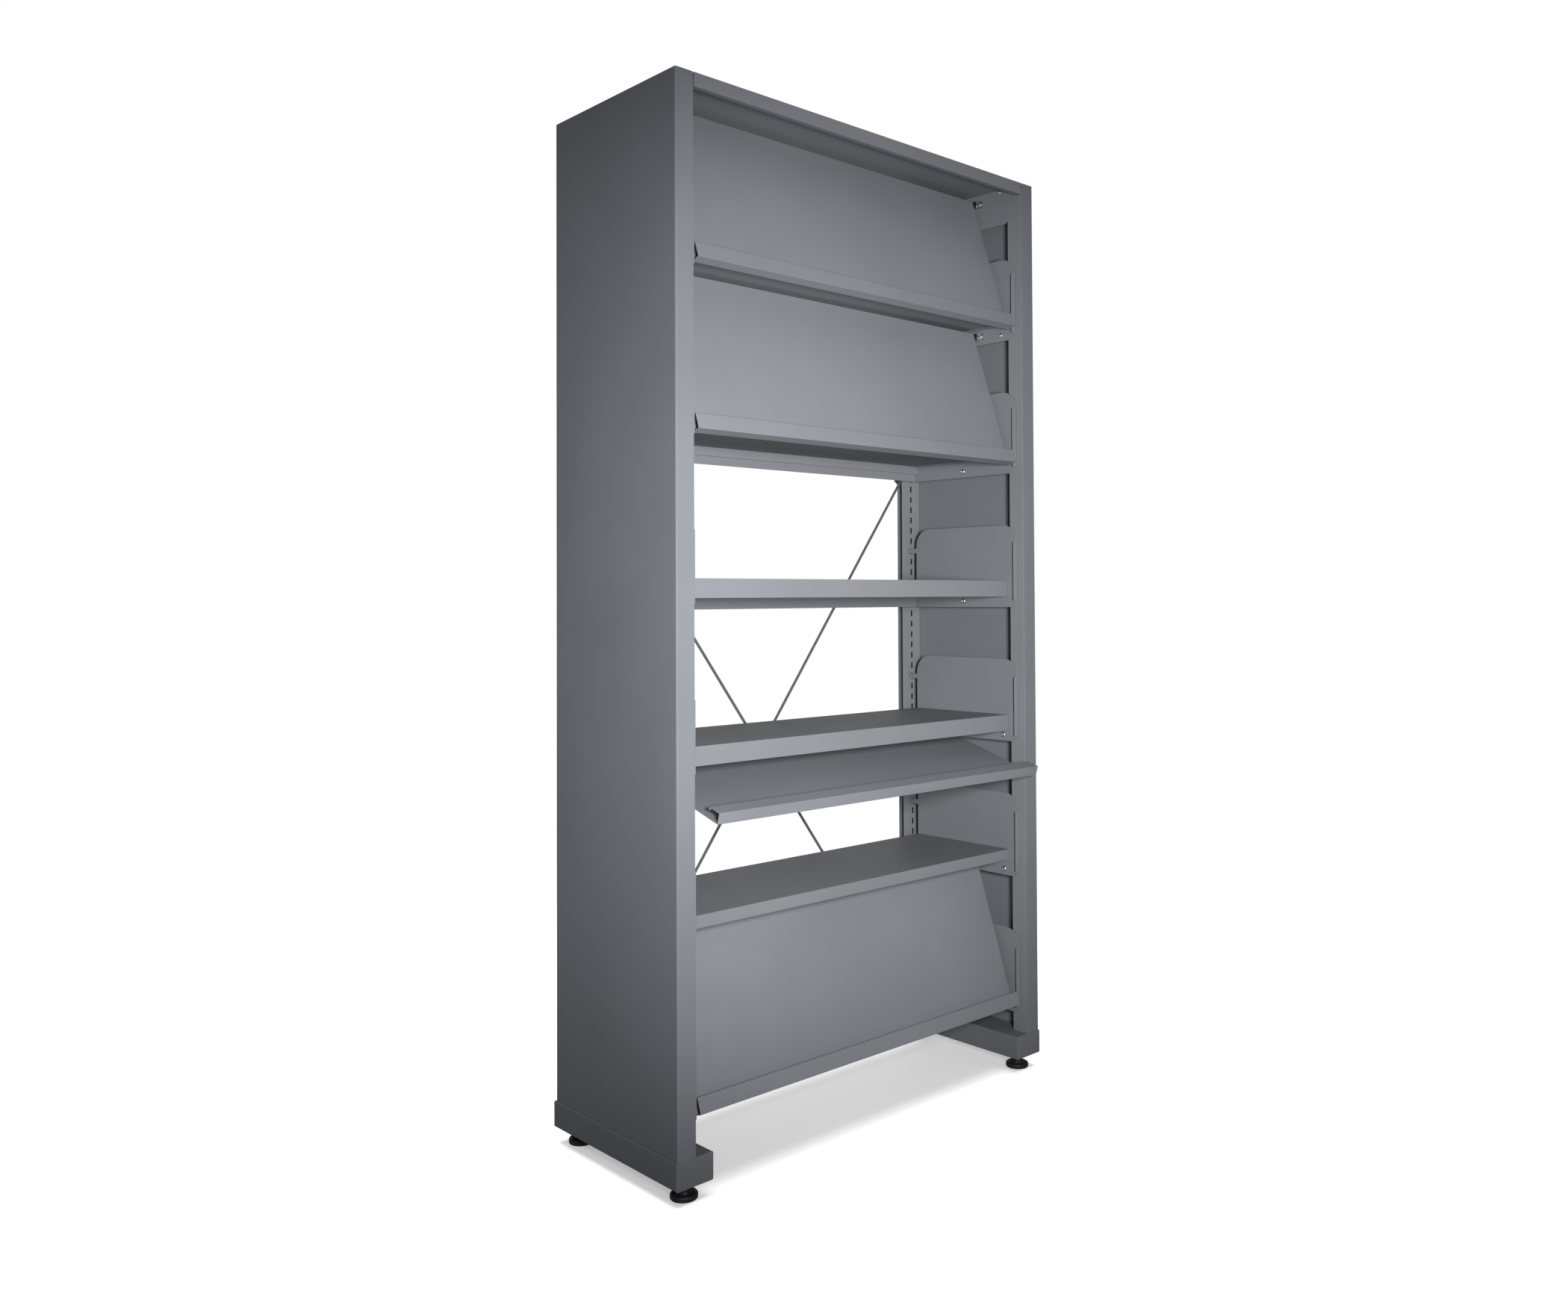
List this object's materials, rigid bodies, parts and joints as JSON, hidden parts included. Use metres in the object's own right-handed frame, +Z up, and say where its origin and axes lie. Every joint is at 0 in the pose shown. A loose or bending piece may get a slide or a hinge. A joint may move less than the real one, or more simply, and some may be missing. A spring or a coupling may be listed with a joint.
{
  "type": "newspaper rack",
  "caption": "Free-standing steel newspaper and periodical rack: slotted side frames, bracket-hung shelves, lift-and-slide display flaps and levelling feet.",
  "frame": {"origin": "on the floor, under the middle of the whole outline", "axes": "+X to the user's right, -Y out of the front, +Z up"},
  "size_m": [1.006, 0.4514, 2],
  "materials": {
    "side_paint": "fine matt powder coat, slightly darker grey blue",
    "cover_paint": "fine satin powder coat, grey blue",
    "base_paint": "fine satin powder coat, grey blue",
    "post_paint": "fine satin powder coat, grey blue",
    "bracket_paint": "fine satin powder coat, grey blue",
    "shelf_paint": "fine satin powder coat, grey blue",
    "flap_paint": "fine satin powder coat, grey blue",
    "brace_paint": "fine satin powder coat, grey blue",
    "track_steel": "bare cold-rolled steel",
    "zinc": "bright zinc plate",
    "nylon": "moulded black nylon",
    "foot_black": "moulded black plastic"
  },
  "bodies": {
    "rack": {"top_cover": "cover_paint", "beam_caps": "base_paint", "foot_nuts": "zinc", "brace_rods": "brace_paint", "brace_lugs": "brace_paint", "brace_nuts": "zinc", "track_rivets": "zinc", "frame_screws": "zinc", "side_skin_left": "side_paint", "post_front_left": "post_paint", "post_rear_left": "post_paint", "base_beam_left": "base_paint", "top_bracket_left": "bracket_paint", "side_skin_right": "side_paint", "post_front_right": "post_paint", "post_rear_right": "post_paint", "base_beam_right": "base_paint", "top_bracket_right": "bracket_paint", "shelf_1": "shelf_paint", "bracket_1_left": "bracket_paint", "bracket_1_right": "bracket_paint", "shelf_2": "shelf_paint", "bracket_2_left": "bracket_paint", "bracket_2_right": "bracket_paint", "shelf_3": "shelf_paint", "bracket_3_left": "bracket_paint", "bracket_3_right": "bracket_paint", "shelf_4": "shelf_paint", "bracket_4_left": "bracket_paint", "bracket_4_right": "bracket_paint", "shelf_5": "shelf_paint", "bracket_5_left": "bracket_paint", "bracket_5_right": "bracket_paint", "shelf_6": "shelf_paint", "bracket_6_left": "bracket_paint", "bracket_6_right": "bracket_paint", "flap_1_tracks": "track_steel", "flap_2_tracks": "track_steel", "flap_5_tracks": "track_steel", "flap_6_tracks": "track_steel"},
    "flap_1_slide": {"flap_1_shoes": "nylon"},
    "flap_1_panel": {"flap_1": "flap_paint", "flap_1_pins": "zinc"},
    "flap_2_slide": {"flap_2_shoes": "nylon"},
    "flap_2_panel": {"flap_2": "flap_paint", "flap_2_pins": "zinc"},
    "flap_5_slide": {"flap_5_shoes": "nylon"},
    "flap_5_panel": {"flap_5": "flap_paint", "flap_5_pins": "zinc"},
    "flap_6_slide": {"flap_6_shoes": "nylon"},
    "flap_6_panel": {"flap_6": "flap_paint", "flap_6_pins": "zinc"},
    "foot_front_left": {"foot_pad_front_left": "foot_black", "foot_stud_front_left": "zinc"},
    "foot_rear_left": {"foot_pad_rear_left": "foot_black", "foot_stud_rear_left": "zinc"},
    "foot_front_right": {"foot_pad_front_right": "foot_black", "foot_stud_front_right": "zinc"},
    "foot_rear_right": {"foot_pad_rear_right": "foot_black", "foot_stud_rear_right": "zinc"}
  },
  "joints": [
    {"name": "flap_1_travel", "type": "slide", "parent": "rack", "child": "flap_1_slide", "axis": [0, 1, 0], "range_m": [0, 0.13489]},
    {"name": "flap_1_swing", "type": "hinge", "parent": "flap_1_slide", "child": "flap_1_panel", "pos_m": [0, -0.04023, 1.9746], "axis": [-1, 0, 0], "range_deg": [0, 55]},
    {"name": "flap_2_travel", "type": "slide", "parent": "rack", "child": "flap_2_slide", "axis": [0, 1, 0], "range_m": [0, 0.13489]},
    {"name": "flap_2_swing", "type": "hinge", "parent": "flap_2_slide", "child": "flap_2_panel", "pos_m": [0, -0.04023, 1.6658], "axis": [-1, 0, 0], "range_deg": [0, 55]},
    {"name": "flap_5_travel", "type": "slide", "parent": "rack", "child": "flap_5_slide", "axis": [0, 1, 0], "range_m": [-0.13489, 0]},
    {"name": "flap_5_swing", "type": "hinge", "parent": "flap_5_slide", "child": "flap_5_panel", "pos_m": [0, 0.09466, 0.7514], "axis": [-1, 0, 0], "range_deg": [-55, 0]},
    {"name": "flap_6_travel", "type": "slide", "parent": "rack", "child": "flap_6_slide", "axis": [0, 1, 0], "range_m": [0, 0.13489]},
    {"name": "flap_6_swing", "type": "hinge", "parent": "flap_6_slide", "child": "flap_6_panel", "pos_m": [0, -0.04023, 0.4466], "axis": [-1, 0, 0], "range_deg": [0, 55]},
    {"name": "foot_front_left_height", "type": "slide", "parent": "rack", "child": "foot_front_left", "axis": [0, 0, -1], "range_m": [0, 0.012]},
    {"name": "foot_rear_left_height", "type": "slide", "parent": "rack", "child": "foot_rear_left", "axis": [0, 0, -1], "range_m": [0, 0.012]},
    {"name": "foot_front_right_height", "type": "slide", "parent": "rack", "child": "foot_front_right", "axis": [0, 0, -1], "range_m": [0, 0.012]},
    {"name": "foot_rear_right_height", "type": "slide", "parent": "rack", "child": "foot_rear_right", "axis": [0, 0, -1], "range_m": [0, 0.012]}
  ],
  "couplings": [
    {"joint": "flap_1_travel", "follows": "flap_1_swing", "m_per_rad": 0.1405},
    {"joint": "flap_2_travel", "follows": "flap_2_swing", "m_per_rad": 0.1405},
    {"joint": "flap_5_travel", "follows": "flap_5_swing", "m_per_rad": 0.1405},
    {"joint": "flap_6_travel", "follows": "flap_6_swing", "m_per_rad": 0.1405}
  ]
}
